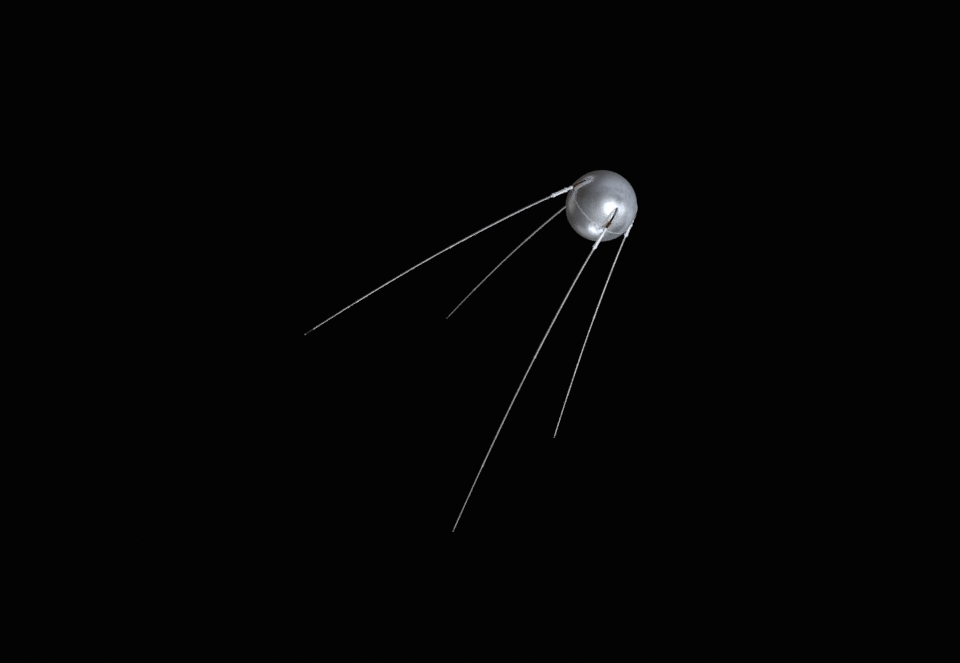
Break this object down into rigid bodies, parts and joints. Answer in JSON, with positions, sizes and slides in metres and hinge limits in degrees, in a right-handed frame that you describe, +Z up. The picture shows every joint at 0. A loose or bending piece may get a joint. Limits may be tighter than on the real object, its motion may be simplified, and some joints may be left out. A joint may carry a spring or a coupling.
{
  "type": "spherical radio satellite with whip antennas",
  "caption": "Polished metal ball with hinged whip antennas that trail to the rear and droop slightly, each in a seat with a brown insulator.",
  "frame": {"origin": "centre of the ball", "axes": "+X is the nose, the way the ball faces away from its whips; +Z is up as it hangs; +Y is port"},
  "size_m": [3.0133, 2.8342, 2.848],
  "materials": {
    "polished_shell": "polished",
    "polished_screen": "polished",
    "seat_metal": "satin",
    "brown_insulator": "satin",
    "pin_steel": "brushed",
    "fitting_metal": "satin",
    "rod_metal": "satin",
    "power_unit_case": "matt"
  },
  "bodies": {
    "ball": {"rear_shell": "polished_shell", "front_shell": "polished_shell", "heat_screen": "polished_screen", "power_unit": "power_unit_case", "carrier_ring": "seat_metal", "rear_port": "seat_metal", "seat_top": "seat_metal", "insulator_top": "brown_insulator", "pivot_pin_top": "pin_steel", "seat_port": "seat_metal", "insulator_port": "brown_insulator", "pivot_pin_port": "pin_steel", "seat_bottom": "seat_metal", "insulator_bottom": "brown_insulator", "pivot_pin_bottom": "pin_steel", "seat_starboard": "seat_metal", "insulator_starboard": "brown_insulator", "pivot_pin_starboard": "pin_steel"},
    "antenna_top": {"lever_top": "pin_steel", "root_fitting_top": "fitting_metal", "whip_top": "rod_metal"},
    "antenna_port": {"lever_port": "pin_steel", "root_fitting_port": "fitting_metal", "whip_port": "rod_metal"},
    "antenna_bottom": {"lever_bottom": "pin_steel", "root_fitting_bottom": "fitting_metal", "whip_bottom": "rod_metal"},
    "antenna_starboard": {"lever_starboard": "pin_steel", "root_fitting_starboard": "fitting_metal", "whip_starboard": "rod_metal"}
  },
  "joints": [
    {"name": "hinge_top", "type": "hinge", "parent": "ball", "child": "antenna_top", "pos_m": [0.05845, 0, 0.29792], "axis": [0, 1, 0], "range_deg": [-3.5, 0], "stiffness_Nm_per_rad": 24, "springref_deg": 45.84},
    {"name": "hinge_port", "type": "hinge", "parent": "ball", "child": "antenna_port", "pos_m": [0.05845, 0.29792, 0], "axis": [0, 0, -1], "range_deg": [-3.5, 0], "stiffness_Nm_per_rad": 24, "springref_deg": 45.84},
    {"name": "hinge_bottom", "type": "hinge", "parent": "ball", "child": "antenna_bottom", "pos_m": [0.05845, 0, -0.29792], "axis": [0, -1, 0], "range_deg": [-10.5, 0], "stiffness_Nm_per_rad": 24, "springref_deg": 45.84},
    {"name": "hinge_starboard", "type": "hinge", "parent": "ball", "child": "antenna_starboard", "pos_m": [0.05845, -0.29792, 0], "axis": [0, 0, 1], "range_deg": [-10.5, 0], "stiffness_Nm_per_rad": 24, "springref_deg": 45.84}
  ]
}
